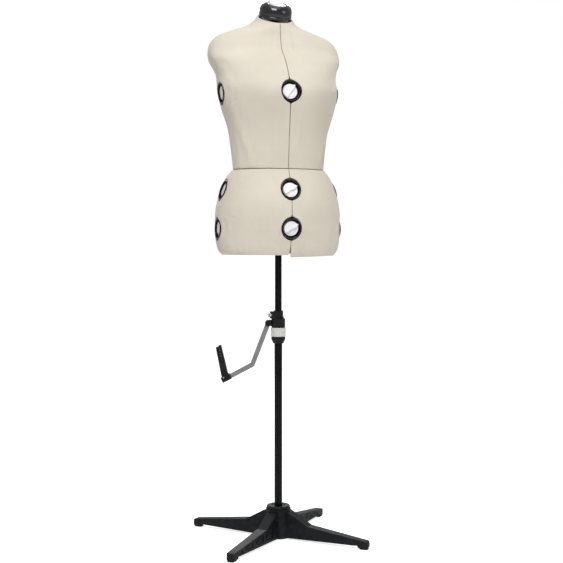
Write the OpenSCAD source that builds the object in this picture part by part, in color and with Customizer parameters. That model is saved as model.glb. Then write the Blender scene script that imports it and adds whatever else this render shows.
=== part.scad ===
// Adjustable dress form on a height-adjustable pole, with a pin hem marker.
// Origin: on the floor, on the pole's axis. +Z is up, the form faces -Y, and left means -X.

/* [Torso] */
// Height of the waist joint above the floor
waist_z = 1038; // [1030:1:1046]
// Thickness of a panel: moulded shell, foam and cover together
panel_t = 6; // [4:0.5:6]
// Gap between neighbouring panels when they are closed
seam_gap = 1.2; // [0.8:0.1:2]
// How far each breast stands out of the front
bust_out = 26; // [10:1:30]
// Facets across one panel
panel_cols = 12; // [10:1:18]

/* [Dials] */
// Radius of the white dial disc
dial_r = 20.7; // [18:0.1:21.2]
// Radius of the black dial cup
cup_r = 28.5; // [27:0.5:28.5]
// Height of the bust dials above the floor
bust_dial_z = 1247; // [1240:1:1254]
// Height of the waist dials above the floor
waist_dial_z = 980; // [976:1:984]
// Height of the hip dials above the floor
hip_dial_z = 872; // [866:1:876]
// Travel of each panel from closed to fully open
panel_travel = 20; // [10:1:20]

/* [Pole] */
// Outer radius of the lower tube
tube_r = 11; // [10.6:0.1:11.5]
// Outer radius of the upper tube
inner_tube_r = 9.5; // [9:0.1:9.5]
// Wall of both tubes
tube_wall = 1.2; // [1:0.1:1.4]
// Distance between two height holes
hole_pitch = 20; // [20:1:20]
// Number of height holes
hole_count = 12; // [12:1:12]

/* [Base] */
// Distance from the pole's axis to a leg's tip
leg_reach = 277; // [260:1:300]
// Turn of the four legs about the pole, from the +X axis
leg_turn = 44.5; // [38:0.5:52]
// Radius of the hub
hub_r = 35; // [33:1:38]
// Height of the hub
hub_h = 84; // [80:1:88]

/* [Hem marker] */
// Direction that the marker's arm points in at rest, from the +X axis
marker_turn = 162; // [120:1:200]
// Width of the flat arm
arm_w = 13.5; // [12:0.5:15]
// Thickness of the flat arm
arm_t = 2.5; // [2:0.1:3]

/* [Hidden] */
$fn = 64;
SIDES = ["front", "right", "back", "left"];
CORNERS = ["front_right", "back_right", "back_left", "front_left"];

black = [0.10, 0.10, 0.11];
steel = [0.55, 0.56, 0.57];
linen = [0.84, 0.80, 0.72];
pearl = [0.90, 0.90, 0.89];
nylon = [0.82, 0.83, 0.80];

// Torso sections, bottom to top: [z, half-width, front depth, back depth, squareness].
// Front and back depth run from the pole's axis.
LOWER = [
    [798, 159, 100, 103, 2.2],
    [812, 170, 107, 112, 2.2],
    [845, 177, 114, 125, 2.2],
    [872, 178, 119, 131, 2.2],
    [925, 176, 122, 132, 2.2],
    [960, 169, 118, 126, 2.2],
    [992, 159, 109, 116, 2.2],
    [1016, 147, 101, 105, 2.2],
    [1036, 131, 92, 93, 2.2]];
UPPER = [
    [1038, 128, 91, 92, 2.2],
    [1095, 134, 95, 98, 2.2],
    [1150, 143, 100, 106, 2.2],
    [1205, 160, 104, 113, 2.2],
    [1256, 170, 103, 119, 2.3],
    [1296, 169, 88, 127, 2.4],
    [1322, 177, 73, 128, 2.5],
    [1345, 188, 57, 127, 2.6],
    [1370, 191, 34, 124, 2.6],
    [1394, 184, 25, 119, 2.6],
    [1414, 163, 20, 113, 2.5],
    [1430, 124, 19.5, 105, 2.3],
    [1443, 82, 19, 95, 2.1],
    [1458, 57, 18, 84, 2.0],
    [1476, 48.5, 14.5, 76.5, 2.0]];
bust_x = 76;
bust_z = 1244;
bust_spread_x = 46;
bust_spread_z = 52;
// The neck is cut on a slope that falls towards the front.
neck_y = 31;
neck_z = 1474;
neck_tilt = 28;
neck_flatten_from = 1400;

// Row of a section table that holds height z.
function row_at(t, z, i = 0) = (i >= len(t) - 2 || z <= t[i + 1][0]) ? i : row_at(t, z, i + 1);
function slope_at(t, i, k) =
    let (lo = max(i - 1, 0), hi = min(i + 1, len(t) - 1))
    (t[hi][k] - t[lo][k]) / (t[hi][0] - t[lo][0]);
// Smooth value of column k at height z.
function section(t, z, k) =
    let (i = row_at(t, z), h = t[i + 1][0] - t[i][0], u = (z - t[i][0]) / h)
    (2 * u * u * u - 3 * u * u + 1) * t[i][k] + (u * u * u - 2 * u * u + u) * h * slope_at(t, i, k)
    + (3 * u * u - 2 * u * u * u) * t[i + 1][k] + (u * u * u - u * u) * h * slope_at(t, i + 1, k);
function side_y(t, z) = (section(t, z, 3) - section(t, z, 2)) / 2;
function half_depth(t, z) = (section(t, z, 3) + section(t, z, 2)) / 2;
function bump(x, z) = bust_out * exp(-pow((abs(x) - bust_x) / bust_spread_x, 2) / 2
                                     - pow((z - bust_z) / bust_spread_z, 2) / 2);
// Point of the outer surface: q runs from 0 at the side seam to 90 at the front or back seam.
function skin(t, z, q, sx, sy) =
    let (a = section(t, z, 1), b = half_depth(t, z), n = section(t, z, 4),
         r = pow(pow(abs(cos(q)) / a, n) + pow(abs(sin(q)) / b, n), -1 / n),
         x = r * cos(q), y = r * sin(q) + (sy < 0 ? bump(x, z) * sin(q) : 0),
         drop = max(0, z - neck_flatten_from) / (neck_z - neck_flatten_from),
         ry = side_y(t, z) + sy * y)
    [sx * x, ry, z + drop * drop * tan(neck_tilt) * (ry - neck_y)];
function unit(v) = v / norm(v);
function normal_at(t, z, q, sx, sy) =
    let (e = 0.5, dq = skin(t, z, q + e, sx, sy) - skin(t, z, q - e, sx, sy),
         dz = skin(t, z + e, q, sx, sy) - skin(t, z - e, q, sx, sy))
    unit(sx * sy * cross(dz, dq)) * -1;
// Distance from the pole's axis to the skin at one side (0 front, 1 right, 2 back, 3 left) and offset along it.
function reach(t, z, side, off = 0) =
    let (a = section(t, z, 1), n = section(t, z, 4), b = half_depth(t, z), y0 = side_y(t, z))
    side == 1 || side == 3
        ? a * pow(1 - pow(min(abs(off - y0 * (side == 1 ? 1 : -1)) / b, 0.999), n), 1 / n)
        : b * pow(1 - pow(abs(off) / a, n), 1 / n) + (side == 0 ? bump(off, z) - y0 : y0);
// Upward tilt of the skin's normal.
function tilt(t, z, side) = atan((reach(t, z - 8, side) - reach(t, z + 8, side)) / 16);

module at_dial(t, z, side)
    translate([0, 0, z]) rotate([0, 0, 90 * side]) translate([0, -reach(t, z, side), 0])
        rotate([90 - tilt(t, z, side), 0, 0]) children();

// ---- Torso panels ----
function panel_points(t, levels, sx, sy) =
    [for (depth = [0, panel_t]) for (z = levels) for (j = [0:panel_cols])
        let (q = 90 * j / panel_cols)
        skin(t, z, q, sx, sy) - depth * normal_at(t, z, q, sx, sy) + [sx, sy, 0] * seam_gap / 2];
// Two triangles for the cell with corners a, b, c, d, turned over where flip is true.
function cell(a, b, c, d, flip) = flip ? [[a, b, c], [a, c, d]] : [[a, c, b], [a, d, c]];
function panel_faces(rows, flip) =
    let (w = panel_cols + 1, n = rows * w, last = rows - 1)
    [for (i = [0:last - 1], j = [0:panel_cols - 1], layer = [0, 1],
          f = cell(layer * n + i * w + j, layer * n + i * w + j + 1, layer * n + (i + 1) * w + j + 1,
                   layer * n + (i + 1) * w + j, layer == 1 ? !flip : flip)) f,
     for (j = [0:panel_cols - 1], end = [0, last],
          f = cell(end * w + j, n + end * w + j, n + end * w + j + 1, end * w + j + 1,
                   end == 0 ? flip : !flip)) f,
     for (i = [0:last - 1], edge = [0, panel_cols],
          f = cell(i * w + edge, (i + 1) * w + edge, n + (i + 1) * w + edge, n + i * w + edge,
                   edge == 0 ? flip : !flip)) f];
UPPER_LEVELS = [1038, 1058, for (z = [1085:27:1274]) z, 1296, 1314, for (z = [1332:15:1407]) z, 1418, 1430,
                1443, 1457, 1470.5];
LOWER_LEVELS = [798, 806, 824, for (z = [848:25:948]) z, 970, 990, 1008, 1024, 1036];

// Cuts that let a dial's cup through two neighbouring panels. Each panel's arc is centred past the seam.
lens_r = 33.2;
lens_shift = 3.7;
module lens_cut(t, z, side, s)
    at_dial(t, z, side) translate([-s * lens_shift, 0, -40]) cylinder(r = lens_r, h = 70);

module panel(t, levels, dial_levels, corner) {
    sx = corner < 2 ? 1 : -1;
    sy = corner == 0 || corner == 3 ? -1 : 1;
    color(linen) difference() {
        polyhedron(points = panel_points(t, levels, sx, sy), faces = panel_faces(len(levels), sx * sy > 0));
        for (z = dial_levels) {
            lens_cut(t, z, corner, 1);
            lens_cut(t, z, (corner + 1) % 4, -1);
        }
    }
}

// ---- Dial: disc, shaft and pinion in one moulding. Local z points out of the torso, with 0 on the skin ----
tooth_module = 1.25;
teeth = 16;
pitch_r = tooth_module * teeth / 2;
pinion_tip_r = pitch_r + 0.8 * tooth_module;
pinion_root_r = pitch_r - 1.1 * tooth_module;
base_r = pitch_r * cos(20);
rack_pitch = PI * tooth_module;
backlash = 0.35;
gear_top = -15.8;
gear_bottom = -20.2;
shaft_r = 4;
cup_floor = -26;

function involute_angle(r) = r <= base_r ? 0 : sqrt(r * r / base_r / base_r - 1) * 180 / PI - acos(base_r / r);
half_tooth = 90 / teeth + involute_angle(pitch_r) - backlash / pitch_r * 90 / PI;
function flank(dir) = [for (r = [pinion_root_r, base_r, pitch_r - 0.3, pitch_r + 0.4, pinion_tip_r])
    let (w = dir * (half_tooth - involute_angle(r))) r * [cos(w), sin(w)]];
function turned(p, w) = [p[0] * cos(w) - p[1] * sin(w), p[0] * sin(w) + p[1] * cos(w)];
function pinion_outline() = [for (i = [0:teeth - 1]) let (up = flank(-1), down = flank(1))
    for (p = concat(up, [for (k = [len(down) - 1:-1:0]) down[k]])) turned(p, 360 * i / teeth)];

grip_turn = 28;
module dial_grip(r, h) {
    // Raised part of the disc, with a straight finger edge just past the centre and a tapered pointer.
    rotate([0, 0, grip_turn]) difference() {
        linear_extrude(height = h) {
            intersection() {
                circle(r = r);
                translate([-r, -4]) square([2 * r, 2 * r]);
            }
            polygon([[r - 6, 9], [r + 4, 2], [r + 4, -1], [r - 5, -3.5], [r - 9, 0]]);
        }
        // Finger slot beside the edge
        translate([-5, -2.4, 0.8]) cube([11, 2.2, h]);
    }
}

disc_top = -8.5;
disc_bottom = -11.5;
module dial() {
    color(pearl) {
        // Disc with a low rim
        rotate_extrude() polygon([[0, disc_bottom], [dial_r, disc_bottom], [dial_r, disc_top + 1.5],
                                  [dial_r - 2, disc_top + 1.5], [dial_r - 2, disc_top], [0, disc_top]]);
        translate([0, 0, disc_top - 0.5]) dial_grip(dial_r - 0.9, 4.5);
        translate([0, 0, gear_bottom - 7]) cylinder(r = shaft_r, h = disc_bottom - gear_bottom + 7.5);
        translate([0, 0, gear_top - 0.5]) cylinder(r = pinion_root_r - 0.5, h = disc_bottom - gear_top + 1);
        translate([0, 0, gear_bottom]) linear_extrude(height = gear_top - gear_bottom) polygon(pinion_outline());
    }
}

module cup_cuts() {
    translate([0, 0, disc_bottom - 1]) cylinder(r = dial_r + 4.7, h = 20);
    translate([0, 0, gear_bottom - 0.4]) cylinder(r = pinion_tip_r + 0.5, h = 40);
    translate([-40, -pitch_r - 8.8, gear_bottom - 0.4]) cube([80, 2 * pitch_r + 17.6, gear_top - gear_bottom + 0.8]);
    translate([0, 0, cup_floor - 10]) cylinder(r = shaft_r + 0.05, h = 20);
}

module cup_body() {
    rotate_extrude() polygon([[0, cup_floor], [cup_r - 2, cup_floor], [cup_r, cup_floor + 2], [cup_r, -1.5],
                              [cup_r - 1.2, -0.4], [cup_r - 2.2, 0], [dial_r + 5, -0.8], [0, -0.8]]);
    // Backing tabs that fill the points of the lens-shaped opening
    translate([-10, -32.8, -14.6]) cube([20, 65.6, 1.8]);
}

// ---- Racks: each panel carries one above the pinion at one seam, and one below the pinion at its other seam ----
rack_out = 41;
boss_x = 35;
boss_r = 3.4;
boss_y = pitch_r + 3.3;
module rack(t, z, side, s) {
    // s = 1: upper rack of the panel on the local +x side; s = -1: lower rack of the other panel.
    inner_end = panel_travel + 5;
    // The spigot's end goes 2 mm into the panel.
    w = tilt(t, z, side);
    dz = s * boss_y * cos(w);
    top = (reach(t, z + dz, side, s * boss_x) - reach(t, z, side)) * cos(w) + dz * sin(w) - panel_t + 1.6;
    n = floor((rack_out - 12 + inner_end) / rack_pitch);
    at_dial(t, z, side) rotate([0, 0, s < 0 ? 180 : 0]) {
        difference() {
            translate([-inner_end, pitch_r - 0.8 * tooth_module, gear_bottom + 0.2])
                cube([rack_out + inner_end, 8.4, gear_top - gear_bottom - 0.4]);
            for (i = [0:n]) translate([(i - floor(inner_end / rack_pitch) - 1) * rack_pitch, pitch_r, gear_bottom - 1])
                linear_extrude(height = 8) tooth_gap();
        }
        translate([boss_x, boss_y, gear_bottom + 1]) cylinder(r = boss_r, h = top - gear_bottom - 1);
    }
}
module tooth_gap() {
    half = rack_pitch / 4 + backlash / 2;
    polygon([[-half - 1.1 * tooth_module * tan(20) - 0.2, -1.4 * tooth_module],
             [half + 1.1 * tooth_module * tan(20) + 0.2, -1.4 * tooth_module],
             [half - 1.1 * tooth_module * tan(20), 1.1 * tooth_module],
             [-half + 1.1 * tooth_module * tan(20), 1.1 * tooth_module]]);
}
module rack_set(t, dial_levels, corner)
    color(nylon) for (z = dial_levels) {
        rack(t, z, corner, 1);
        rack(t, z, (corner + 1) % 4, -1);
    }

// ---- Struts: a sliding rod that carries the dial cups of one side ----
rod_r = 6;
rod_inner = 22;
arm_end = 64;
lower_arm_z = 926;
function cup_back(t, z, side) =
    let (w = tilt(t, z, side)) [reach(t, z, side) + (cup_floor - 3) * cos(w), z + (cup_floor - 3) * sin(w)];
module strut(t, dial_levels, rod_z, side) {
    backs = [for (z = dial_levels) cup_back(t, z, side)];
    bar_y = min([for (b = backs) b[0]]) - 2;
    color(black) difference() {
        union() {
            for (z = dial_levels) at_dial(t, z, side) cup_body();
            translate([0, 0, rod_z]) rotate([0, 0, 90 * side]) rotate([90, 0, 0]) translate([0, 0, rod_inner])
                cylinder(r = rod_r, h = bar_y - rod_inner + 3);
            rotate([0, 0, 90 * side]) for (b = backs) hull() {
                translate([0, -bar_y, rod_z]) cube([20, 6, 20], center = true);
                translate([0, -b[0], b[1]]) cube([20, 6, 20], center = true);
            }
        }
        for (z = dial_levels) at_dial(t, z, side) cup_cuts();
    }
}

// ---- Frames on the pole ----
frame_arm_r = 9;
frame_hub_r = 21;
module frame_arms(z) {
    for (w = [0:90:270]) translate([0, 0, z]) rotate([0, 0, w]) rotate([90, 0, 0])
        translate([0, 0, 12]) cylinder(r = frame_arm_r, h = arm_end - 12);
}
module frame_bores(z) {
    for (w = [0:90:270]) translate([0, 0, z]) rotate([0, 0, w]) rotate([90, 0, 0])
        translate([0, 0, 17]) cylinder(r = rod_r + 0.08, h = 60);
}
module lower_frame() {
    color(black) difference() {
        union() {
            translate([0, 0, lower_arm_z - 22]) cylinder(r = frame_hub_r, h = 44);
            frame_arms(lower_arm_z);
        }
        translate([0, 0, lower_arm_z - 30]) cylinder(r = inner_tube_r + 0.05, h = 60);
        frame_bores(lower_arm_z);
    }
}
upper_arm_z = bust_dial_z - 4;
neck_post_z = upper_arm_z + 55;
module neck_frame() translate([0, neck_y, neck_z]) rotate([neck_tilt, 0, 0]) children();
module upper_frame() {
    color(black) difference() {
        union() {
            translate([0, 0, upper_arm_z - 30]) cylinder(r = frame_hub_r, h = 90);
            frame_arms(upper_arm_z);
            hull() {
                translate([0, 0, neck_post_z]) cylinder(r = 14, h = 4, $fn = 32);
                neck_frame() translate([0, 0, -16]) cylinder(r = 14, h = 6, $fn = 32);
            }
            neck_frame() translate([0, 0, -12]) cylinder(r = 38, h = 6);
        }
        translate([0, 0, upper_arm_z - 40]) cylinder(r = inner_tube_r + 0.05, h = 92);
        frame_bores(upper_arm_z);
        neck_frame() translate([0, 0, -30]) cylinder(r = shaft_r + 0.05, h = 40);
    }
}

// ---- Neck cap: a two-step dome with a dial in its crown ----
cap_r = 47;
neck_dial_r = 22.4;
module neck_cap() {
    color(black) neck_frame() difference() {
        rotate_extrude() polygon(concat(
            [[0, -5.95], [12, -5.95], [12, 0.6], [cap_r - 3, 0.6], [cap_r, 3], [cap_r, 8.5], [cap_r - 1.2, 9.6],
             [cap_r - 1.2, 10.6], [cap_r - 0.2, 11.8]],
            [for (w = [0:9:90]) [cap_r - 20.2 + 20 * cos(w), 16 + 22 * sin(w)]],
            [[0, 38]]));
        translate([0, 0, 32]) cylinder(r = neck_dial_r + 0.5, h = 10);
        translate([0, 0, -10]) cylinder(r = shaft_r + 0.05, h = 60);
    }
}
module neck_dial() {
    color(pearl) neck_frame() translate([0, 0, 38.5]) {
        translate([0, 0, -6]) cylinder(r = neck_dial_r, h = 4);
        translate([0, 0, -2.5]) dial_grip(neck_dial_r - 4.5, 4.5);
        translate([0, 0, -64]) cylinder(r = shaft_r, h = 60);
    }
}

// ---- Pole ----
tube_foot = 20;
tube_top = 600;
plunger_z = 630;
// The lock pin and the row of holes point a little forward of straight sideways
pin_turn = 16;
upper_tube_foot = 345;
upper_tube_top = upper_arm_z + 50;
module tube(r, z0, z1) translate([0, 0, z0]) difference() {
    cylinder(r = r, h = z1 - z0);
    translate([0, 0, -1]) cylinder(r = r - tube_wall, h = z1 - z0 + 2);
}
module lower_tube() color(black) tube(tube_r, tube_foot, tube_top);
module upper_tube() {
    color(black) difference() {
        tube(inner_tube_r, upper_tube_foot, upper_tube_top);
        for (i = [0:hole_count - 1])
            translate([0, 0, plunger_z + (i - 5) * hole_pitch]) rotate([0, 0, pin_turn]) rotate([0, -90, 0])
                cylinder(r = 3.7, h = 20);
    }
}

// ---- Collar stack at the tube joint, from the bottom: ferrule, clamp ring, hem collar, lock housing ----
sleeve_r = 14;
ferrule_z = 550;
ring_z = 569;
collar_z = 594;
housing_z = 620;
housing_top = 642;
module tube_ferrule() {
    color(black) rotate_extrude() polygon([[tube_r + 0.05, ferrule_z], [14.8, ferrule_z], [19, ferrule_z + 9],
        [19.6, ferrule_z + 11], [19.6, ring_z - 0.1], [tube_r + 0.05, ring_z - 0.1]]);
}
module clamp_ring() {
    color(nylon) difference() {
        rotate_extrude() polygon([[sleeve_r + 0.08, ring_z + 0.15], [19.8, ring_z + 0.15], [20.8, ring_z + 1.4],
            [20.8, ring_z + 11], [20.1, ring_z + 11.8], [20.1, ring_z + 13], [20.8, ring_z + 13.8],
            [20.8, collar_z - 1.4], [19.8, collar_z - 0.15], [sleeve_r + 0.08, collar_z - 0.15]]);
        for (w = [0:20:340]) rotate([0, 0, w]) translate([21.4, 0, ring_z - 1]) cylinder(r = 1.1, h = 40);
    }
}
module hem_collar() {
    color(black) difference() {
        union() {
            translate([0, 0, collar_z + 0.15]) cylinder(r = 19.3, h = housing_z - collar_z - 0.4);
            rotate([0, 0, marker_turn]) hull() {
                translate([14, -5, collar_z + 4]) cube([4, 9, 18]);
                translate([pivot_x, 4, pivot_z]) rotate([90, 0, 0]) cylinder(r = 8.5, h = 9);
            }
        }
        translate([0, 0, collar_z - 5]) cylinder(r = sleeve_r + 0.08, h = 40);
        rotate([0, 0, marker_turn]) translate([pivot_x, 10, pivot_z]) rotate([90, 0, 0])
            cylinder(r = 2.56, h = 20);
    }
}
module lock_housing() {
    color(black) difference() {
        union() {
            translate([0, 0, ring_z]) cylinder(r = sleeve_r, h = housing_z - ring_z + 1);
            translate([0, 0, housing_z]) cylinder(r = 15.5, h = 5);
            translate([0, 0, housing_z + 4]) cylinder(r = 13.6, h = housing_top - housing_z - 4);
            rotate([0, 0, pin_turn]) translate([-22.5, -9, housing_z]) cube([20, 18, 20]);
        }
        translate([0, 0, ring_z - 1]) cylinder(r = tube_r + 0.05, h = tube_top - ring_z + 1.2);
        translate([0, 0, ring_z]) cylinder(r = inner_tube_r + 0.08, h = 100);
        translate([0, 0, plunger_z]) rotate([0, 0, pin_turn]) rotate([0, -90, 0]) cylinder(r = 3.55, h = 40);
    }
}
module lock_plunger() {
    color(steel) translate([0, 0, plunger_z]) rotate([0, 0, pin_turn]) rotate([0, -90, 0]) {
        translate([0, 0, inner_tube_r + 0.5]) cylinder(r = 3.5, h = 17);
        translate([0, 0, 27]) cylinder(r = 5.5, h = 4);
        translate([0, 0, 26]) cylinder(r1 = 3.5, r2 = 5.5, h = 1.2);
    }
}

// ---- Hem marker, drawn in a frame whose +X points away from the pole ----
pivot_x = 28.5;
pivot_z = 607;
arm_y = 4.4;
bend = [73, 490];
arm_tip = [133, 458];
clip_foot = [149, 452];
clip_lean = 13;
module marker() rotate([0, 0, marker_turn]) children();
// Flat shape in the marker's x-z plane, from y0 to y0 + h.
module upright(y0, h) translate([0, y0 + h, 0]) rotate([90, 0, 0]) linear_extrude(height = h) children();
module bar(a, b) {
    d = b - a;
    translate(a) rotate(atan2(d[1], d[0])) translate([0, -arm_w / 2]) square([norm(d), arm_w]);
}
module hem_arm() {
    color(steel) marker() difference() {
        upright(arm_y, arm_t) union() {
            bar([pivot_x, pivot_z], bend);
            bar(bend, arm_tip);
            translate([pivot_x, pivot_z]) circle(r = arm_w / 2);
            translate(bend) circle(r = arm_w / 2);
        }
        translate([pivot_x, 20, pivot_z]) rotate([90, 0, 0]) cylinder(r = 2.56, h = 40);
    }
}
module hem_arm_knob() {
    color(black) marker() translate([pivot_x, 0, pivot_z]) rotate([-90, 0, 0]) {
        translate([0, 0, -4.5]) cylinder(r = 2.5, h = 14);
        difference() {
            translate([0, 0, arm_y + arm_t + 0.15]) cylinder(r = 9, h = 7);
            for (w = [0:45:315]) rotate([0, 0, w]) translate([10.4, 0, 0]) cylinder(r = 2.4, h = 30);
            translate([0, 0, arm_y + arm_t + 5.5]) cylinder(r = 4, h = 9);
        }
    }
}
clip_w = 30;
module clip_frame() marker() translate([clip_foot[0], 0, clip_foot[1]]) rotate([0, clip_lean, 0]) children();
// Flat shape in the clip's x-z plane, from y0 to y0 + h.
module clip_upright(y0, h) clip_frame() translate([0, y0 + h, 0]) rotate([90, 0, 0]) linear_extrude(height = h)
    children();
module clip_body() {
    color(black) difference() {
        union() {
            marker() translate([clip_foot[0], -clip_w / 2, clip_foot[1]]) rotate([0, 27, 0])
                translate([-15, 0, -9]) cube([27, clip_w, 15]);
            // Fixed jaw
            clip_upright(-clip_w / 2 + 1, clip_w - 2) polygon([[-9.5, -3], [-8.5, 93], [-1, 93], [-1, 8], [-3, -3]]);
            // Hinge ears
            for (y0 = [-clip_w / 2 - 0.5, clip_w / 2 - 4]) clip_upright(y0, 4.5) {
                translate([4.5, 3]) circle(r = 5.5);
                translate([-0.9, -7]) square([10.8, 10]);
            }
        }
        // Socket for the arm, seat of the moving jaw, hinge hole and pin slots
        marker() upright(arm_y - 0.05, arm_t + 0.1) bar(bend, arm_tip + [1, -0.5]);
        clip_upright(-clip_w / 2 + 4, clip_w - 8) {
            translate([4.5, 3]) circle(r = 7.6);
            translate([4.5, -4.6]) square([13, 24]);
        }
        clip_frame() translate([4.5, 30, 3]) rotate([90, 0, 0]) cylinder(r = 2.06, h = 60);
        for (k = [0:2]) clip_upright(-clip_w, 2 * clip_w) translate([-3, 62 + 9 * k]) square([6, 1.4]);
    }
}
module clip_jaw() {
    color(black) clip_frame() difference() {
        union() {
            translate([0, clip_w / 2 - 4.4, 0]) rotate([90, 0, 0]) linear_extrude(height = clip_w - 8.8)
                polygon([[0.2, 9], [0.2, 90], [7, 90], [10, 12], [9, 3], [1, 3]]);
            translate([4.5, clip_w / 2 - 4.4, 3]) rotate([90, 0, 0]) cylinder(r = 5, h = clip_w - 8.8);
        }
        translate([4.5, 30, 3]) rotate([90, 0, 0]) cylinder(r = 2.06, h = 60);
        for (k = [0:2]) translate([-2, -clip_w, 62 + 9 * k]) cube([4.2, 2 * clip_w, 1.4]);
    }
}
module clip_hinge_pin()
    color(steel) clip_frame() translate([4.5, clip_w / 2 + 0.6, 3]) rotate([90, 0, 0]) cylinder(r = 2, h = clip_w + 1.2);

// ---- Base ----
collar_ring_h = 8;
pad_h = 4;
leg_gap = 0.3;
tongue_w = 12;
module base_hub() {
    color(black) difference() {
        union() {
            translate([0, 0, 3]) cylinder(r = hub_r, h = hub_h - 3);
            translate([0, 0, hub_h - 1]) cylinder(r = 26, h = 4.8);
        }
        translate([0, 0, tube_foot]) cylinder(r = tube_r + 0.05, h = 100);
        translate([0, 0, -1]) cylinder(r = 3, h = 40);
        for (w = [0:90:270]) rotate([0, 0, leg_turn + w]) {
            translate([hub_r - 15, -tongue_w / 2 - 0.1, 14]) cube([20, tongue_w + 0.2, 50.2]);
            translate([hub_r - 8, 0, -1]) cylinder(r = 3.2, h = 20);
            translate([hub_r - 8, 0, -1]) cylinder(r = 6, h = 9);
        }
    }
}
module hub_collar() {
    color(black) difference() {
        translate([0, 0, hub_h + 0.1]) rotate_extrude() polygon([[12, 3.8], [26.1, 3.8], [26.1, 0], [32, 0],
            [33, 1], [33, collar_ring_h - 2.5], [31, collar_ring_h], [20, collar_ring_h], [17, 6.4], [12, 6.4]]);
        translate([0, 0, hub_h - 2]) cylinder(r = tube_r + 0.1, h = 30);
    }
}
// Side outline of a leg, outwards from the hub: [distance from the axis, height].
LEG_SIDE = [[hub_r - 4, 5], [hub_r - 4, 76], [40, 76], [98, 44], [leg_reach - 6, 23], [leg_reach - 1, 20],
            [leg_reach, 15], [leg_reach, 8], [leg_reach - 3, pad_h], [leg_reach - 26, pad_h],
            [leg_reach - 31, 10], [leg_reach - 38, 9]];
// Triangular pockets in a leg's side, between its truss ribs.
POCKETS = [[[60, 14], [60, 56], [98, 15]], [[68, 53], [106, 37], [101, 18]],
           [[112, 16], [117, 36], [148, 15]], [[126, 35], [165, 31], [156, 18]],
           [[168, 16], [175, 30], [202, 15]], [[184, 29], [220, 25], [212, 17]],
           [[222, 14], [228, 23], [240, 14]]];
leg_w_hub = 30;
leg_w_tip = 22;
pocket_depth = 2;
function pocket_floor(p) =
    leg_w_hub / 2 - (leg_w_hub - leg_w_tip) / 2 * (p[0][0] - 60) / (leg_reach - 64) - pocket_depth;
module leg(corner) {
    pocket_side = corner == 0 || corner == 3 ? 1 : -1;
    color(black) rotate([0, 0, leg_turn - 90 + 90 * corner]) difference() {
        union() {
            intersection() {
                upright(-40, 80) polygon(LEG_SIDE);
                translate([0, 0, -1]) linear_extrude(height = 100) polygon([[0, -leg_w_hub / 2 - 3], [60, -leg_w_hub / 2],
                    [leg_reach - 4, -leg_w_tip / 2], [leg_reach, -leg_w_tip / 2 + 4], [leg_reach, leg_w_tip / 2 - 4],
                    [leg_reach - 4, leg_w_tip / 2], [60, leg_w_hub / 2], [0, leg_w_hub / 2 + 3]]);
                difference() {
                    translate([0, 0, -1]) cylinder(r = 400, h = 200);
                    translate([0, 0, -2]) cylinder(r = hub_r + leg_gap, h = 300);
                }
            }
            translate([hub_r - 14.5, -tongue_w / 2, 14.3]) cube([22, tongue_w, 49.5]);
        }
        for (p = POCKETS) upright(pocket_side > 0 ? pocket_floor(p) : -pocket_floor(p) - 20, 20) polygon(p);
        translate([hub_r - 8, 0, 10]) cylinder(r = 2.5, h = 22);
        translate([leg_reach - 14, 0, 0]) cylinder(r = 4.05, h = 9);
    }
}
module foot_pads() {
    color([0.06, 0.06, 0.06]) for (w = [0:90:270]) rotate([0, 0, leg_turn + w]) {
        translate([leg_reach - 14, 0, 2]) cylinder(r = 4, h = 6.5);
        translate([leg_reach - 25.5, 0, 0]) intersection() {
            translate([0, -9, 0]) cube([23, 18, pad_h - 0.05]);
            translate([11.5, 0, -1]) cylinder(r = 13, h = 10);
        }
    }
}
module leg_screws() {
    color(steel) for (w = [0:90:270]) rotate([0, 0, leg_turn + w]) translate([hub_r - 8, 0, 0]) {
        translate([0, 0, 5]) cylinder(r = 2.45, h = 24);
        difference() {
            translate([0, 0, 4.2]) cylinder(r = 5.2, h = 3.6);
            translate([0, 0, 3]) cylinder(r = 2.6, h = 3, $fn = 6);
        }
    }
}

base_hub();
hub_collar();
leg_screws();
foot_pads();
lower_tube();
tube_ferrule();
lock_housing();
lock_plunger();
clamp_ring();
hem_collar();
hem_arm();
hem_arm_knob();
clip_body();
clip_jaw();
clip_hinge_pin();
upper_tube();
lower_frame();
upper_frame();
neck_cap();
neck_dial();
for (c = [0:3]) {
    leg(c);
    panel(UPPER, UPPER_LEVELS, [bust_dial_z], c);
    panel(LOWER, LOWER_LEVELS, [waist_dial_z, hip_dial_z], c);
    rack_set(UPPER, [bust_dial_z], c);
    rack_set(LOWER, [waist_dial_z, hip_dial_z], c);
    strut(UPPER, [bust_dial_z], upper_arm_z, c);
    strut(LOWER, [waist_dial_z, hip_dial_z], lower_arm_z, c);
    at_dial(UPPER, bust_dial_z, c) dial();
    at_dial(LOWER, waist_dial_z, c) dial();
    at_dial(LOWER, hip_dial_z, c) dial();
}
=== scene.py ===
import math

import bpy
import numpy as np
from mathutils import Matrix, Vector


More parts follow.
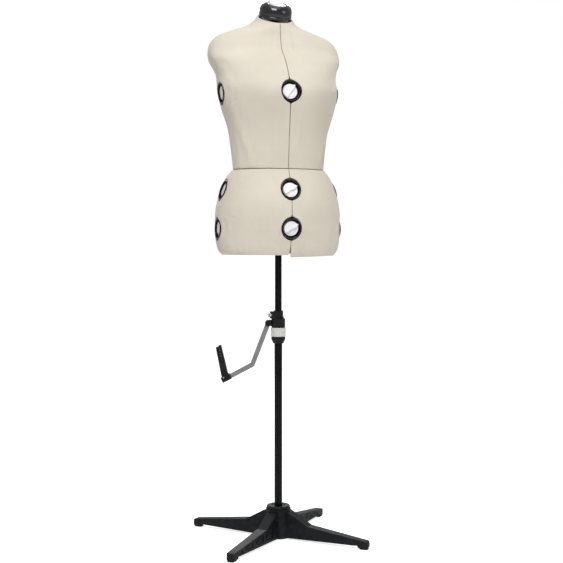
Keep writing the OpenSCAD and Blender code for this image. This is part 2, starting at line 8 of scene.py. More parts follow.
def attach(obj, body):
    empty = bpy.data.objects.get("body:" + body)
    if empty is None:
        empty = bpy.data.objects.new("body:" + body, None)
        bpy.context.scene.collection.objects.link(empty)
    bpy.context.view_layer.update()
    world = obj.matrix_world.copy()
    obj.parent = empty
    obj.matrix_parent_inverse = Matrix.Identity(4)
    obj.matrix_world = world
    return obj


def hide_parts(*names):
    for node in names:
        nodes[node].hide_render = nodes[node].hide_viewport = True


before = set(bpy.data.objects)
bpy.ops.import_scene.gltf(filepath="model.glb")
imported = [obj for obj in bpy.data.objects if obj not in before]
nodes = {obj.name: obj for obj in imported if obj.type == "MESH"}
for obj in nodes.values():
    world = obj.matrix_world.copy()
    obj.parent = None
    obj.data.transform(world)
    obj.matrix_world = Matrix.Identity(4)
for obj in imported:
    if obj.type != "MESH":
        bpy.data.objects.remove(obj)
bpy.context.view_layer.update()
MM = 0.001
SIDES = ["front", "right", "back", "left"]
CORNERS = ["front_right", "back_right", "back_left", "front_left"]

# ---------------------------------------------------------------- torso form
# Sections from bottom to top: height, half-width, front depth, back depth, squareness (mm)
LOWER = np.array([
    [798, 159, 100, 103, 2.2], [812, 170, 107, 112, 2.2], [845, 177, 114, 125, 2.2],
    [872, 178, 119, 131, 2.2], [925, 176, 122, 132, 2.2], [960, 169, 118, 126, 2.2],
    [992, 159, 109, 116, 2.2], [1016, 147, 101, 105, 2.2], [1036, 131, 92, 93, 2.2]])
UPPER = np.array([
    [1038, 128, 91, 92, 2.2], [1095, 134, 95, 98, 2.2], [1150, 143, 100, 106, 2.2],
    [1205, 160, 104, 113, 2.2], [1256, 170, 103, 119, 2.3], [1296, 169, 88, 127, 2.4],
    [1322, 177, 73, 128, 2.5], [1345, 188, 57, 127, 2.6], [1370, 191, 34, 124, 2.6],
    [1394, 184, 25, 119, 2.6], [1414, 163, 20, 113, 2.5], [1430, 124, 19.5, 105, 2.3],
    [1443, 82, 19, 95, 2.1], [1458, 57, 18, 84, 2.0], [1476, 48.5, 14.5, 76.5, 2.0]])
BUST_DIAL, WAIST_DIAL, HIP_DIAL = 1247.0, 980.0, 872.0
NECK_Y, NECK_Z, NECK_TILT = 31.0, 1474.0, math.radians(28)
GAP = 0.6
SETTLE_CAP = 1.5  # mm


def section(t, z, k):
    z = np.asarray(z, float)
    i = np.clip(np.searchsorted(t[:, 0], z, "left") - 1, 0, len(t) - 2)
    lo, hi = np.maximum(np.arange(len(t)) - 1, 0), np.minimum(np.arange(len(t)) + 1, len(t) - 1)
    slope = (t[hi, k] - t[lo, k]) / (t[hi, 0] - t[lo, 0])
    h = t[i + 1, 0] - t[i, 0]
    u = (z - t[i, 0]) / h
    return ((2 * u**3 - 3 * u * u + 1) * t[i, k] + (u**3 - 2 * u * u + u) * h * slope[i]
            + (3 * u * u - 2 * u**3) * t[i + 1, k] + (u**3 - u * u) * h * slope[i + 1])


def bump(x, z):
    return 26 * np.exp(-(((np.abs(x) - 76) / 46) ** 2) / 2 - ((z - 1244) / 52) ** 2 / 2)


def skin(t, z, q, sx, sy):
    """Points of the outer surface. q is 0 at the side seam and 90 at the front or back seam."""
    z, q = np.broadcast_arrays(np.asarray(z, float), np.radians(q))
    a, n = section(t, z, 1), section(t, z, 4)
    b = (section(t, z, 2) + section(t, z, 3)) / 2
    r = (np.abs(np.cos(q) / a) ** n + np.abs(np.sin(q) / b) ** n) ** (-1 / n)
    x = r * np.cos(q)
    y = r * np.sin(q) + (bump(x, z) * np.sin(q) if sy < 0 else 0)
    drop = np.maximum(0, z - 1400) / (NECK_Z - 1400)
    ry = (section(t, z, 3) - section(t, z, 2)) / 2 + sy * y
    return np.stack([sx * x, ry, z + drop * drop * math.tan(NECK_TILT) * (ry - NECK_Y)], -1)


def unit(v):
    return v / np.maximum(np.linalg.norm(v, axis=-1, keepdims=True), 1e-9)


def skin_normal(t, z, q, sx, sy):
    e = 0.4
    dq = skin(t, z, q + e, sx, sy) - skin(t, z, q - e, sx, sy)
    dz = skin(t, z + e, q, sx, sy) - skin(t, z - e, q, sx, sy)
    return unit(-sx * sy * np.cross(dz, dq))


def reach(t, z, side, off=0.0):
    a, n = float(section(t, z, 1)), float(section(t, z, 4))
    b = float(section(t, z, 2) + section(t, z, 3)) / 2
    y0 = float(section(t, z, 3) - section(t, z, 2)) / 2
    if side in (1, 3):
        return a * (1 - min(abs(off - y0 * (1 if side == 1 else -1)) / b, 0.999) ** n) ** (1 / n)
    reach = b * (1 - (abs(off) / a) ** n) ** (1 / n)
    return reach + (float(bump(off, z)) - y0 if side == 0 else y0)


def tilt(t, z, side):
    return math.atan((reach(t, z - 8, side) - reach(t, z + 8, side)) / 16)


def dial_matrix(t, z, side):
    """Local z points out of the torso, x along the seam's crosswise direction, y up."""
    m = (Matrix.Translation((0, 0, z * MM)) @ Matrix.Rotation(math.pi / 2 * side, 4, "Z")
         @ Matrix.Translation((0, -reach(t, z, side) * MM, 0))
         @ Matrix.Rotation(math.pi / 2 - tilt(t, z, side), 4, "X"))
    return m


# ---------------------------------------------------------------- mesh helpers
def mesh_object(name, verts, faces, mat, smooth=True, scale=MM):
    me = bpy.data.meshes.new(name)
    me.from_pydata([tuple(float(c) * scale for c in v) for v in verts], [], faces)
    me.validate()
    me.materials.append(mat)
    for p in me.polygons:
        p.use_smooth = smooth
    ob = bpy.data.objects.new(name, me)
    bpy.context.scene.collection.objects.link(ob)
    return ob


def recalc(ob):
    import bmesh
    bm = bmesh.new()
    bm.from_mesh(ob.data)
    bmesh.ops.recalc_face_normals(bm, faces=bm.faces)
    bm.to_mesh(ob.data)
    bm.free()


def lathe(profile, steps=96):
    """Verts and faces of a closed or open profile [(r, z), ...] turned about z."""
    v, f = [], []
    rows = []
    for r, z in profile:
        if r < 1e-6:
            rows.append([len(v)])
            v.append((0, 0, z))
        else:
            rows.append(list(range(len(v), len(v) + steps)))
            for k in range(steps):
                w = 2 * math.pi * k / steps
                v.append((r * math.cos(w), r * math.sin(w), z))
    for a, b in zip(rows, rows[1:]):
        for k in range(steps):
            k2 = (k + 1) % steps
            if len(a) == 1 and len(b) == 1:
                continue
            if len(a) == 1:
                f.append((a[0], b[k], b[k2]))
            elif len(b) == 1:
                f.append((a[k], b[0], a[k2]))
            else:
                f.append((a[k], b[k], b[k2], a[k2]))
    return v, f


def prism(outline, z0, z1):
    n = len(outline)
    v = [(x, y, z0) for x, y in outline] + [(x, y, z1) for x, y in outline]
    f = [tuple(range(n - 1, -1, -1)), tuple(range(n, 2 * n))]
    f += [(k, (k + 1) % n, n + (k + 1) % n, n + k) for k in range(n)]
    return v, f


def join(parts):
    v, f = [], []
    for pv, pf in parts:
        f += [tuple(i + len(v) for i in face) for face in pf]
        v += list(pv)
    return v, f


def bevel(ob, width, segments=2, angle=35):
    m = ob.modifiers.new("edge", "BEVEL")
    m.width = width * MM
    m.segments = segments
    m.limit_method = "ANGLE"
    m.angle_limit = math.radians(angle)
    m.harden_normals = True
    return m


def smooth_by_angle(ob, degrees=35):
    import bmesh
    bm = bmesh.new()
    bm.from_mesh(ob.data)
    for e in bm.edges:
        sharp = len(e.link_faces) == 2 and e.calc_face_angle(0) > math.radians(degrees)
        e.smooth = not sharp
    for p in bm.faces:
        p.smooth = True
    bm.to_mesh(ob.data)
    bm.free()


# ---------------------------------------------------------------- materials
def node_mat(name, color, rough, metallic=0.0, coat=0.0, coat_rough=0.1, specular=0.5, sheen=0.0):
    m = bpy.data.materials.new(name)
    m.use_nodes = True
    nt = m.node_tree
    b = nt.nodes["Principled BSDF"]
    b.inputs["Base Color"].default_value = (*color, 1)
    b.inputs["Roughness"].default_value = rough
    b.inputs["Metallic"].default_value = metallic
    b.inputs["Coat Weight"].default_value = coat
    b.inputs["Coat Roughness"].default_value = coat_rough
    b.inputs["Specular IOR Level"].default_value = specular
    b.inputs["Sheen Weight"].default_value = sheen
    b.inputs["Sheen Roughness"].default_value = 0.5
    tc = nt.nodes.new("ShaderNodeTexCoord")
    return m, nt, b, tc


def noise(nt, tc, scale, detail=4.0, rough=0.55, stretch=None):
    n = nt.nodes.new("ShaderNodeTexNoise")
    n.inputs["Scale"].default_value = scale
    n.inputs["Detail"].default_value = detail
    n.inputs["Roughness"].default_value = rough
    if stretch:
        mp = nt.nodes.new("ShaderNodeMapping")
        mp.inputs["Scale"].default_value = stretch
        nt.links.new(tc.outputs["Object"], mp.inputs["Vector"])
        nt.links.new(mp.outputs["Vector"], n.inputs["Vector"])
    else:
        nt.links.new(tc.outputs["Object"], n.inputs["Vector"])
    return n.outputs["Fac"]


def remap(nt, fac, a0, a1, b0, b1):
    r = nt.nodes.new("ShaderNodeMapRange")
    r.inputs["From Min"].default_value = a0
    r.inputs["From Max"].default_value = a1
    r.inputs["To Min"].default_value = b0
    r.inputs["To Max"].default_value = b1
    nt.links.new(fac, r.inputs["Value"])
    return r.outputs["Result"]


def mix(nt, fac, c0, c1, blend="MIX"):
    m = nt.nodes.new("ShaderNodeMix")
    m.data_type = "RGBA"
    m.blend_type = blend
    for s, c in (("A", c0), ("B", c1)):
        sock = [i for i in m.inputs if i.name == s and i.type == "RGBA"][0]
        if isinstance(c, tuple):
            sock.default_value = (*c, 1)
        else:
            nt.links.new(c, sock)
    if isinstance(fac, float):
        m.inputs["Factor"].default_value = fac
    else:
        nt.links.new(fac, m.inputs["Factor"])
    return [o for o in m.outputs if o.type == "RGBA"][0]


def math_node(nt, op, a, b):
    m = nt.nodes.new("ShaderNodeMath")
    m.operation = op
    for k, s in enumerate((a, b)):
        if isinstance(s, (int, float)):
            m.inputs[k].default_value = s
        else:
            nt.links.new(s, m.inputs[k])
    return m.outputs[0]


def add_bump(nt, b, height, strength, distance):
    bp = nt.nodes.new("ShaderNodeBump")
    bp.inputs["Strength"].default_value = strength
    bp.inputs["Distance"].default_value = distance
    nt.links.new(height, bp.inputs["Height"])
    nt.links.new(bp.outputs["Normal"], b.inputs["Normal"])
    return bp


def edge_wear(nt, lo=0.52, hi=0.62):
    g = nt.nodes.new("ShaderNodeNewGeometry")
    return remap(nt, g.outputs["Pointiness"], lo, hi, 0.0, 1.0)


def fabric_mat(name, light, dark):
    m, nt, b, tc = node_mat(name, light, 0.85, specular=0.2, sheen=0.1)
    # Fine tricot knit: two crossed families of ribs, slightly disturbed
    sep = nt.nodes.new("ShaderNodeSeparateXYZ")
    warp = nt.nodes.new("ShaderNodeVectorMath")
    warp.operation = "MULTIPLY_ADD"
    nz = nt.nodes.new("ShaderNodeTexNoise")
    nz.inputs["Scale"].default_value = 60
    nz.inputs["Detail"].default_value = 3
    nt.links.new(tc.outputs["Object"], nz.inputs["Vector"])
    nt.links.new(nz.outputs["Color"], warp.inputs[0])
    warp.inputs[1].default_value = (0.0012, 0.0012, 0.0012)
    nt.links.new(tc.outputs["Object"], warp.inputs[2])
    nt.links.new(warp.outputs[0], sep.inputs[0])
    along = math_node(nt, "ADD", sep.outputs["X"],
                      math_node(nt, "MULTIPLY", sep.outputs["Y"], 0.83))
    pitch = 2 * math.pi / 0.0011
    warp_rib = math_node(nt, "SINE", math_node(nt, "MULTIPLY", along, pitch), 0.0)
    weft_rib = math_node(nt, "SINE", math_node(nt, "MULTIPLY", sep.outputs["Z"], pitch * 1.15),
                         0.0)
    weave = math_node(nt, "MULTIPLY", warp_rib, weft_rib)
    slub = noise(nt, tc, 420, 3, 0.6, (1, 1, 0.25))
    broad = noise(nt, tc, 7, 3, 0.5)
    fluff = noise(nt, tc, 1900, 2, 0.6)
    c1 = mix(nt, remap(nt, broad, 0.35, 0.65, 0.0, 1.0), dark, light)
    c2 = mix(nt, remap(nt, slub, 0.35, 0.7, 0.0, 0.22), c1, dark)
    shade = remap(nt, weave, -1.0, 1.0, 0.90, 1.02)
    comb = nt.nodes.new("ShaderNodeCombineColor")
    for s in comb.inputs[:3]:
        nt.links.new(shade, s)
    c3 = mix(nt, 1.0, c2, comb.outputs[0], "MULTIPLY")
    nt.links.new(c3, b.inputs["Base Color"])
    nt.links.new(remap(nt, slub, 0.3, 0.7, 0.78, 0.95), b.inputs["Roughness"])
    h = math_node(nt, "ADD", math_node(nt, "MULTIPLY", weave, 0.5),
                  math_node(nt, "MULTIPLY", slub, 0.9))
    h = math_node(nt, "ADD", h, math_node(nt, "MULTIPLY", fluff, 0.4))
    add_bump(nt, b, h, 0.35, 0.00035)
    return m


def plastic_mat(name, color, rough, coat=0.0, texture=900, bump_mm=0.03, wear=0.25, worn=None,
                vary=0.12, specular=0.5):
    m, nt, b, tc = node_mat(name, color, rough, coat=coat, coat_rough=0.12, specular=specular)
    grain = noise(nt, tc, texture, 3, 0.6)
    cloud = noise(nt, tc, 14, 4, 0.5)
    lighter = tuple(min(1, c * (1 + vary) + 0.004) for c in color)
    darker = tuple(c * (1 - vary) for c in color)
    c = mix(nt, remap(nt, cloud, 0.35, 0.65, 0.0, 1.0), darker, lighter)
    worn = worn or tuple(min(1, c0 * 1.9 + 0.02) for c0 in color)
    scuff = math_node(nt, "MULTIPLY", edge_wear(nt),
                      remap(nt, noise(nt, tc, 90, 4), 0.45, 0.62, 0.0, wear))
    nt.links.new(mix(nt, scuff, c, worn), b.inputs["Base Color"])
    nt.links.new(remap(nt, cloud, 0.3, 0.7, rough - 0.06, rough + 0.08), b.inputs["Roughness"])
    add_bump(nt, b, grain, 0.5, bump_mm * MM)
    return m


def metal_mat(name, color, rough, stretch, bump_mm=0.015):
    m, nt, b, tc = node_mat(name, color, rough, metallic=1.0)
    brush = noise(nt, tc, 700, 3, 0.6, stretch)
    cloud = noise(nt, tc, 25, 4)
    darker = tuple(c * 0.78 for c in color)
    nt.links.new(mix(nt, remap(nt, cloud, 0.35, 0.65, 0.0, 1.0), darker, color),
                 b.inputs["Base Color"])
    nt.links.new(remap(nt, brush, 0.3, 0.7, rough - 0.07, rough + 0.12), b.inputs["Roughness"])
    add_bump(nt, b, brush, 0.4, bump_mm * MM)
    return m


M_FABRIC = fabric_mat("cream_jersey", (0.700, 0.643, 0.546), (0.640, 0.588, 0.492))
M_SHELL = plastic_mat("panel_shell", (0.50, 0.47, 0.41), 0.55, wear=0.1)
M_WHITE = plastic_mat("dial_white", (0.88, 0.88, 0.88),
                      0.22, coat=0.35, texture=500, bump_mm=0.012,
                      wear=0.0, worn=(0.6, 0.6, 0.58), vary=0.015)
M_BEZEL = plastic_mat("bezel_black", (0.007, 0.007, 0.009), 0.2, coat=0.35, texture=600,
                      bump_mm=0.02, specular=0.15)
M_CAP = plastic_mat("cap_gloss", (0.009, 0.009, 0.012),
                    0.14, coat=0.6, texture=350, bump_mm=0.02, wear=0.15,
                    specular=0.3)
M_FRAME = plastic_mat("inner_black", (0.010, 0.010, 0.012), 0.5, texture=800, bump_mm=0.04,
                      specular=0.15)
M_LEG = plastic_mat("leg_plastic", (0.0060, 0.0066, 0.0082), 0.46, texture=1100, bump_mm=0.06,
                    wear=0.3, specular=0.14)
M_FIT = plastic_mat("fitting_black", (0.0062, 0.0062, 0.0078), 0.36, texture=1000, bump_mm=0.04,
                    wear=0.3, specular=0.16)
M_TUBE = plastic_mat("tube_powder", (0.0028, 0.0028, 0.0036),
                     0.34, texture=1600, bump_mm=0.025, wear=0.12,
                     specular=0.1)
M_NYLON = plastic_mat("nylon", (0.60, 0.605, 0.565), 0.42, texture=700, bump_mm=0.03, wear=0.2,
                      worn=(0.42, 0.42, 0.38), vary=0.04)
M_RUBBER = plastic_mat("rubber", (0.014, 0.014, 0.014), 0.8, texture=600, bump_mm=0.08, wear=0.1)
M_STEEL = metal_mat("bright_steel", (0.62, 0.62, 0.61), 0.28, (1, 1, 0.08))
M_ARM = metal_mat("zinc_strap", (0.34, 0.34, 0.35), 0.46, (0.12, 1, 0.12), 0.03)


# ---------------------------------------------------------------- panels
LENS_R, LENS_SHIFT = 33.2, 3.7


def wobble(p, seed, amount):
    """Small smooth unevenness of the padding, the same on every run."""
    rng = np.random.default_rng(seed)
    out = np.zeros(p.shape[:-1])
    for _ in range(7):
        k = rng.normal(size=3) * 0.035
        out += np.sin(p @ k + rng.uniform(0, 6.28))
    return out / 7 * amount


def settle(P, N, flip):
    """Cloth simulation of a cover held along its edges and padded behind.

    Says how far each point rises, in mm.
    """
    ri = np.unique(np.linspace(0, P.shape[0] - 1, 30).astype(int))
    ci = np.unique(np.linspace(0, P.shape[1] - 1, 19).astype(int))
    coarse, normal = P[np.ix_(ri, ci)], N[np.ix_(ri, ci)]
    n, m = len(ri), len(ci)
    faces = [(i * m + j, i * m + j + 1, (i + 1) * m + j + 1, (i + 1) * m + j)
             for i in range(n - 1) for j in range(m - 1)]
    if flip:
        faces = [f[::-1] for f in faces]
    ob = mesh_object("settling_cover", coarse.reshape(-1, 3), faces, M_FABRIC)
    held = ob.vertex_groups.new(name="held")
    held.add([i * m + j for i in range(n) for j in range(m)
              if i in (0, n - 1) or j in (0, m - 1)], 1.0, "REPLACE")
    mod = ob.modifiers.new("cloth", "CLOTH")
    mod.settings.vertex_group_mass = "held"
    mod.settings.use_pressure = True
    mod.settings.uniform_pressure_force = 4
    mod.settings.effector_weights.gravity = 0
    mod.settings.shrink_min = -0.001
    mod.point_cache.frame_start, mod.point_cache.frame_end = 1, 20
    scene = bpy.context.scene
    for k in range(1, 21):
        scene.frame_set(k)
    done = ob.evaluated_get(bpy.context.evaluated_depsgraph_get()).data
    now = np.array([v.co for v in done.vertices]).reshape(n, m, 3) / MM
    bpy.data.objects.remove(ob)
    scene.frame_set(1)
    rise = SETTLE_CAP * np.tanh(np.sum((now - coarse) * normal, -1) / SETTLE_CAP)
    across = np.array([np.interp(np.arange(P.shape[1]), ci, r) for r in rise])
    return np.array([np.interp(np.arange(P.shape[0]), ri, c) for c in across.T]).T


def panel(pref, t, corner, dials, radii, z_lo, z_hi, seed):
    """Fabric cover and moulded shell of one torso panel."""
    sx = 1 if corner < 2 else -1
    sy = -1 if corner in (0, 3) else 1
    front_side = 0 if sy < 0 else 2
    side_side = 1 if sx > 0 else 3
    r_seam, r_lo, r_hi = radii
    # Heights: even steps, and steps along each dial opening
    ring = LENS_R + r_seam
    phi0 = math.asin((LENS_SHIFT + GAP + r_seam) / ring)
    zs = set()
    for zd in dials:
        for k in range(15):
            dz = ring * math.cos(phi0 + (math.pi / 2 - phi0) * k / 14) * 0.985
            zs |= {round(zd + dz, 3), round(zd - dz, 3)}
    lens_z = sorted(zs)
    for z in np.linspace(z_lo + r_lo, z_hi - r_hi, int((z_hi - z_lo) / 4.5)):
        if not lens_z or min(abs(z - a) for a in lens_z) > 2.2:
            zs.add(float(z))
    zs |= {z_lo + r_lo, z_hi - r_hi}
    zs = np.array(sorted(zs))
    cols = 60
    s = np.linspace(0, 1, cols + 1)
    qt = np.linspace(0, 90, 721)
    Q = np.zeros((len(zs), cols + 1))
    for i, z in enumerate(zs):
        pt = skin(t, np.full_like(qt, z), qt, 1, sy)
        x, y = pt[:, 0], np.abs(pt[:, 1] - pt[0, 1])
        edge = []
        for side in (side_side, front_side):
            off = GAP + r_seam
            for zd in dials:
                c = math.cos(tilt(t, zd, side))
                dz = (z - zd) / c
                if abs(dz) < ring:
                    off = max(off, math.sqrt(ring**2 - dz**2) - LENS_SHIFT)
            # The seam opens a little towards the hem
            if pref == "lower" and z < 835 and off < 6 and side == 0:
                off += (838 - z) ** 2 / 620
            edge.append(off - GAP)
        q0 = np.interp(edge[0], y, qt)
        q1 = np.interp(-edge[1], -x, qt)
        Q[i] = q0 + (q1 - q0) * s
    Z = np.repeat(zs[:, None], cols + 1, 1)
    P = skin(t, Z, Q, sx, sy) + np.array([sx, sy, 0]) * GAP
    if pref == "lower" and corner == 0:
        # This cover's hem hangs a little lower towards the front seam
        P[..., 2] -= (1.5 + 3.0 * np.clip(Q / 90, 0, 1) ** 2) * np.clip((850 - Z) / 50, 0, 1) ** 2
    N = skin_normal(t, Z, Q, sx, sy)
    i_mid = np.minimum(np.arange(len(zs)), np.arange(len(zs))[::-1])[:, None]
    j_mid = np.minimum(np.arange(cols + 1), np.arange(cols + 1)[::-1])[None, :]
    fade = np.clip(np.minimum(i_mid, j_mid) / 6.0, 0, 1)
    rise = settle(P, N, sx * sy > 0)
    outer = P + N * (wobble(P, seed, 0.35) * fade + rise)[..., None]
    rows, w = len(zs), cols + 1
    idx = lambda i, j: i * w + j
    loop = ([idx(0, j) for j in range(w)] + [idx(i, cols) for i in range(1, rows)]
            + [idx(rows - 1, j) for j in range(cols - 1, -1, -1)]
            + [idx(i, 0) for i in range(rows - 2, 0, -1)])
    rad = {}
    for j in range(w):
        rad[idx(0, j)], rad[idx(rows - 1, j)] = r_lo, r_hi
    for i in range(rows):
        for j in (0, cols):
            inner = min(rad.get(idx(i, j), r_seam), r_seam)
            rad[idx(i, j)] = inner if 0 < i < rows - 1 else max(r_seam, 2.0)
    L = outer.reshape(-1, 3)[loop]
    NL = N.reshape(-1, 3)[loop]
    RL = np.array([rad[k] for k in loop])[:, None]
    a, b = unit(L - np.roll(L, 1, 0)), unit(np.roll(L, -1, 0) - L)
    tan = (a + b) / 2
    T = np.cross(unit(tan), NL)
    if sx * sy > 0:
        T = -T
    centre = L.mean(0)
    if np.mean(np.sum(T * (L - centre), 1)) < 0:
        T = -T
    T = unit(T) / np.clip(np.linalg.norm(tan, axis=1, keepdims=True), 0.72, 1)
    deep = np.minimum(RL, 3.2)
    base_v = list(map(tuple, outer.reshape(-1, 3)))
    flip = sx * sy > 0

    def quad(a_, b_, c_, d_):
        return (a_, d_, c_, b_) if flip else (a_, b_, c_, d_)

    grid_f = [quad(idx(i, j), idx(i, j + 1), idx(i + 1, j + 1), idx(i + 1, j))
              for i in range(rows - 1) for j in range(cols)]
    v, f = list(base_v), list(grid_f)

    def add_ring(prev, pts):
        start = len(v)
        v.extend(map(tuple, pts))
        cur = list(range(start, start + len(pts)))
        n = len(cur)
        for k in range(n):
            k2 = (k + 1) % n
            f.append(quad(prev[k], cur[k], cur[k2], prev[k2]))
        return cur

    prev = loop
    for th in (18, 40, 65, 90):
        th = math.radians(th)
        prev = add_ring(prev, L + T * RL * math.sin(th) - NL * deep * (1 - math.cos(th)))
    prev = add_ring(prev, L + T * RL - NL * 3.3)
    prev = add_ring(prev, L + T * (RL - 1.2) - NL * 3.5)
    name = f"{pref}_cover_{CORNERS[corner]}"
    cover = mesh_object(name, v, f, M_FABRIC)
    recalc(cover)
    # Moulded shell behind the cover
    v, f = [], []
    inner = (P - N * 6.0).reshape(-1, 3)
    v.extend(map(tuple, inner))
    f.extend(quad(idx(i, j + 1), idx(i, j), idx(i + 1, j), idx(i + 1, j + 1))
             for i in range(rows - 1) for j in range(cols))
    prev = list(loop)
    LI = inner[loop]
    prev = add_ring(prev, LI + T * (RL - 1.6))
    prev = add_ring(prev, LI + T * (RL - 0.7) + NL * 0.6)
    prev = add_ring(prev, LI + T * (RL - 0.5) + NL * 2.0)
    prev = add_ring(prev, LI + T * (RL - 1.4) + NL * 3.0)
    shell = mesh_object(f"{pref}_shell_{CORNERS[corner]}", v, f, M_SHELL)
    recalc(shell)
    return cover, shell


# Edge radii of a cover in mm: along the seam, at its bottom and at its top
UPPER_RADII, LOWER_RADII = (1.6, 2.0, 2.5), (1.6, 3.2, 2.2)
UPPER_FOOT, UPPER_TOP, LOWER_TOP = 1036.95, 1470.3, 1036.6
HEM, FRONT_RIGHT_HEM = 798.0, 796.0
UPPER_SEED, LOWER_SEED = 11, 31
# Only the front right cover's hem hangs lower; the other three are level
for c in range(4):
    up, up_shell = panel("upper", UPPER, c, [BUST_DIAL], UPPER_RADII, UPPER_FOOT, UPPER_TOP,
                         UPPER_SEED + c)
    hem = HEM if c != 0 else FRONT_RIGHT_HEM
    lo, lo_shell = panel("lower", LOWER, c, [WAIST_DIAL, HIP_DIAL], LOWER_RADII, hem, LOWER_TOP,
                         LOWER_SEED + c)
    for pref, cover, shell in (("upper", up, up_shell), ("lower", lo, lo_shell)):
        body = f"{pref}_panel_{CORNERS[c]}"
        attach(cover, body)
        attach(shell, body)
        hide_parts(body)


# ---------------------------------------------------------------- dials
def arc(r, a0, a1, n):
    return [(r * math.cos(math.radians(a0 + (a1 - a0) * k / n)),
             r * math.sin(math.radians(a0 + (a1 - a0) * k / n))) for k in range(n + 1)]


def turned(pts, deg):
    c, s_ = math.cos(math.radians(deg)), math.sin(math.radians(deg))
    return [(x * c - y * s_, x * s_ + y * c) for x, y in pts]


def gear_outline():
    m, n = 1.25, 16
    pr = m * n / 2
    tip, root, base = pr + 0.8 * m, pr - 1.1 * m, pr * math.cos(math.radians(20))

    def inv(r):
        return 0 if r <= base else math.sqrt(r * r / base / base - 1) - math.acos(base / r)

    half = math.pi / 2 / n + inv(pr) - 0.35 / pr / 2
    rs = [root, base, pr, tip]
    out = []
    for i in range(n):
        w = 2 * math.pi * i / n
        for r in rs:
            q = -(half - inv(r))
            out.append((r * math.cos(w + q), r * math.sin(w + q)))
        for r in reversed(rs):
            q = half - inv(r)
            out.append((r * math.cos(w + q), r * math.sin(w + q)))
    return out


def dial_parts(r, top, turn):
    """Disc with a sunk lower part, a raised grip with a pointer, and a curved rib."""
    disc = lathe([(0, top - 3.2), (r - 0.6, top - 3.2), (r, top - 2.6), (r, top + 1.0),
                  (r - 0.4, top + 1.5),
                  (r - 1.5, top + 1.5), (r - 2.0, top + 1.0), (r - 2.2, top - 0.2),
                  (r - 3, top - 0.5),
                  (0, top - 0.5)], 72)
    g = r - 0.9
    cut = math.degrees(math.asin(4 / g))
    edge = g * math.cos(math.radians(cut))
    outline = ([(-edge, -4.0), (-6.0, -4.0), (-6.0, -2.6), (5.0, -2.6), (5.0, -4.0),
                (g - 4, -3.4), (g + 3.2, -0.6),
                (g + 3.9, 0.6), (g + 3.2, 1.8), (g - 2.2, 7.6)] + arc(g, 26, 180 + cut, 40)[:-1])
    grip = prism(turned(outline, turn), top - 1.0, top + 4.0)
    rib_out, rib_in = arc(g - 4.6, 190, 330, 26), arc(g - 6.2, 330, 190, 26)
    rib = prism(turned(rib_out + rib_in, turn), top - 1.0, top + 1.2)
    return disc, grip, rib


def build_dial(name, r, top, shaft, turn=28.0):
    disc, grip, rib = dial_parts(r, top, turn)
    body = mesh_object(name, *join([disc] + shaft), M_WHITE)
    smooth_by_angle(body, 40)
    g = mesh_object(name + "_grip", *join([grip, rib]), M_WHITE, smooth=False)
    bevel(g, 0.55, 3, 30)
    smooth_by_angle(g, 30)
    return body, g


shaft = [lathe([(4, -27.2), (4, -11.0)], 32), lathe([(0, -27.2), (4, -27.2)], 32),
         lathe([(8.1, -16.3), (8.1, -10.8)], 40), prism(gear_outline(), -20.2, -15.8)]
LEVELS = [("bust", UPPER, BUST_DIAL, "upper"), ("waist", LOWER, WAIST_DIAL, "lower"),
          ("hip", LOWER, HIP_DIAL, "lower")]
BEZEL = [(25.45, -12.2), (25.2, -11.0), (25.2, -1.4), (25.5, -0.5), (26.1, 0.15), (27.0, 0.4),
         (27.8, 0.2),
         (28.45, -0.4), (28.75, -1.3), (28.75, -7.0), (28.45, -7.2)]
for level, t, z, pref in LEVELS:
    for side in range(4):
        name = f"{level}_dial_{SIDES[side]}"
        m = dial_matrix(t, z, side)
        d, g = build_dial(name + "_disc", 20.7, -8.5, shaft, 50.0 if level == "bust" else 28.0)
        bez = mesh_object(name + "_bezel", *lathe(BEZEL, 96), M_BEZEL)
        recalc(bez)
        for ob in (d, g, bez):
            ob.data.transform(m)
        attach(d, name)
        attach(g, name)
        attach(bez, f"{pref}_strut_{SIDES[side]}")
        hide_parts(name)

# ---------------------------------------------------------------- neck cap
neck = Matrix.Translation((0, NECK_Y * MM, NECK_Z * MM)) @ Matrix.Rotation(NECK_TILT, 4, "X")
R = 47.0
cap_profile = [(0, -5.9), (12, -5.9), (12, 0.7), (R - 3.4, 0.7), (R - 1.6, 1.2), (R - 0.4, 2.4),
               (R, 4.0),
               (R, 7.2), (R - 0.25, 8.4), (R - 0.9, 9.2), (R - 1.5, 9.7), (R - 1.5, 10.4),
               (R - 0.9, 10.9),
               (R - 0.4, 11.8)]
cap_profile += [(R - 20.2 + 19.9 * math.cos(math.radians(w)), 16 + 22 * math.sin(math.radians(w)))
                for w in range(0, 87, 6)]
cap_profile += [(24.3, 37.8), (23.4, 37.2), (23.0, 36.4), (22.95, 32.2), (5, 32.1)]
cap = mesh_object("neck_cap_dome", *lathe(cap_profile, 128), M_CAP)
recalc(cap)
cap.data.transform(neck)
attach(cap, "upper_section")
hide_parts("neck_cap")
nd, ng = build_dial("neck_dial_disc", 22.4, -2.0,
                    [lathe([(4, -64), (4, -4)], 32)])
for ob in (nd, ng):
    ob.data.transform(neck @ Matrix.Translation((0, 0, 38.5 * MM)))
    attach(ob, "neck_dial")
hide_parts("neck_dial")

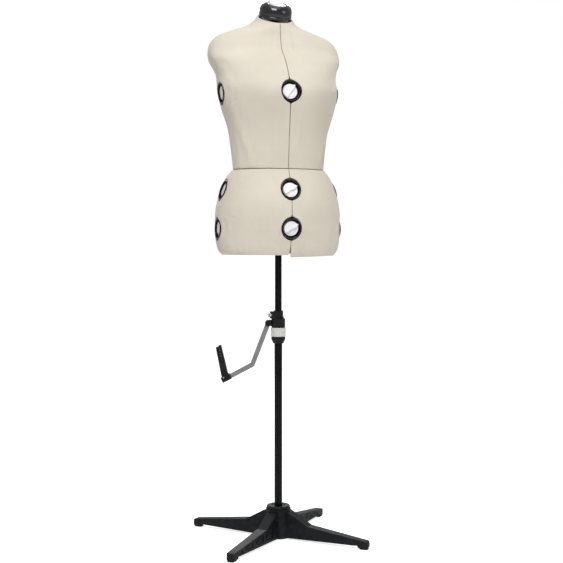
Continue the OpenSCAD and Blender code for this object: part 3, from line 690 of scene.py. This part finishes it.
# ---------------------------------------------------------------- CAD nodes shown as they are
LOOK = {"base_hub": (M_LEG, 1.2), "hub_collar": (M_LEG, 0.8), "leg_screws": (M_STEEL, 0.3),
        "foot_pads": (M_RUBBER, 0.8),
        "lower_tube": (M_TUBE, 0.3), "upper_tube": (M_TUBE, 0.25), "tube_ferrule": (M_FIT, 0.6),
        "lock_housing": (M_FIT, 0.8), "lock_plunger": (M_STEEL, 0.5), "clamp_ring": (M_NYLON, 0.4),
        "hem_collar": (M_FIT, 0.8), "hem_arm": (M_ARM, 0.35), "hem_arm_knob": (M_FIT, 0.6),
        "clip_body": (M_FIT, 0.7),
        "clip_jaw": (M_FIT, 0.6), "clip_hinge_pin": (M_STEEL, 0.3), "lower_frame": (M_FRAME, 0.8),
        "upper_frame": (M_FRAME, 0.8)}
for c in CORNERS:
    LOOK["leg_" + c] = (M_LEG, 2.2)
    LOOK["upper_racks_" + c] = LOOK["lower_racks_" + c] = (M_NYLON, 0.0)
for s_ in SIDES:
    LOOK["upper_strut_" + s_] = LOOK["lower_strut_" + s_] = (M_FRAME, 0.5)
for n, (mat, width) in LOOK.items():
    ob = nodes[n]
    ob.data.materials.clear()
    ob.data.materials.append(mat)
    if width:
        bevel(ob, width, 3 if width > 1 else 2, 30)

# ---------------------------------------------------------------- floor, light, camera
# The floor and the world are brighter to the camera than to the object, for a plain pale ground
FLOOR_GLOW, FLOOR_GLOW_SEEN = 0.05, 0.75
WORLD_LIGHT, WORLD_SEEN = 0.40, 1.0
FLOOR_HALF = 60
stage_mat, snt, sb = node_mat("studio_floor", (0.9, 0.9, 0.9), 0.9, specular=0.0)[:3]
sb.inputs["Emission Color"].default_value = (1, 1, 1, 1)
glow = snt.nodes.new("ShaderNodeMapRange")
glow.inputs["To Min"].default_value = FLOOR_GLOW
glow.inputs["To Max"].default_value = FLOOR_GLOW_SEEN
snt.links.new(snt.nodes.new("ShaderNodeLightPath").outputs["Is Camera Ray"], glow.inputs["Value"])
snt.links.new(glow.outputs["Result"], sb.inputs["Emission Strength"])
corners = [(x * FLOOR_HALF, y * FLOOR_HALF, 0) for x, y in ((-1, -1), (1, -1), (1, 1), (-1, 1))]
floor = mesh_object("studio_floor", corners, [(0, 1, 2, 3)], stage_mat, smooth=False, scale=1.0)
world = bpy.context.scene.world or bpy.data.worlds.new("studio")
bpy.context.scene.world = world
world.use_nodes = True
wnt = world.node_tree
bg = wnt.nodes["Background"]
bg.inputs["Color"].default_value = (1.0, 1.0, 1.0, 1)
path = wnt.nodes.new("ShaderNodeLightPath")
level_node = wnt.nodes.new("ShaderNodeMapRange")
level_node.inputs["To Min"].default_value = WORLD_LIGHT
level_node.inputs["To Max"].default_value = WORLD_SEEN
wnt.links.new(path.outputs["Is Camera Ray"], level_node.inputs["Value"])
wnt.links.new(level_node.outputs["Result"], bg.inputs["Strength"])
bpy.context.scene.view_settings.view_transform = "Standard"


def area(name, pos, target, size, power, color=(1, 1, 1)):
    l = bpy.data.lights.new(name, "AREA")
    l.shape = "RECTANGLE"
    l.size, l.size_y = size
    l.energy = power
    l.color = color
    ob = bpy.data.objects.new(name, l)
    bpy.context.scene.collection.objects.link(ob)
    ob.location = pos
    ob.rotation_euler = (Vector(target) - Vector(pos)).to_track_quat("-Z", "Y").to_euler()
    return ob


area("key", (-1.0, -2.5, 4.2), (0, 0, 1.2), (1.8, 1.8), 120)
area("fill", (2.4, -2.6, 2.3), (0, 0, 1.3), (1.4, 1.6), 17)
area("top", (0.0, -0.5, 3.9), (0, 0, 1.1), (1.6, 1.6), 10)
area("back", (0.9, 3.2, 2.9), (0, 0, 1.0), (1.8, 1.8), 60)

# Camera: bearing from the form's front, distance and height in m, downward pitch in radians,
# focal length as a share of the picture's side, and a small move to the right in m
AZ = math.radians(-18.2)
DIST, EYE, PITCH = 3.103, 0.8515, 0.01555
FOCAL, SENSOR, SHIFT, ASIDE = 1100.5 / 563, 36, -0.05, 0.009
cam_data = bpy.data.cameras.new("photo_camera")
cam_data.sensor_width = SENSOR
cam_data.lens = SENSOR * FOCAL
cam_data.shift_y = SHIFT
cam_data.clip_end = 200
cam = bpy.data.objects.new("photo_camera", cam_data)
bpy.context.scene.collection.objects.link(cam)
right = Vector((math.cos(AZ), math.sin(AZ), 0))
cam.location = Vector((DIST * math.sin(AZ), -DIST * math.cos(AZ), EYE)) + right * ASIDE
cam.rotation_euler = (math.pi / 2 - PITCH, 0, AZ)
bpy.context.scene.camera = cam
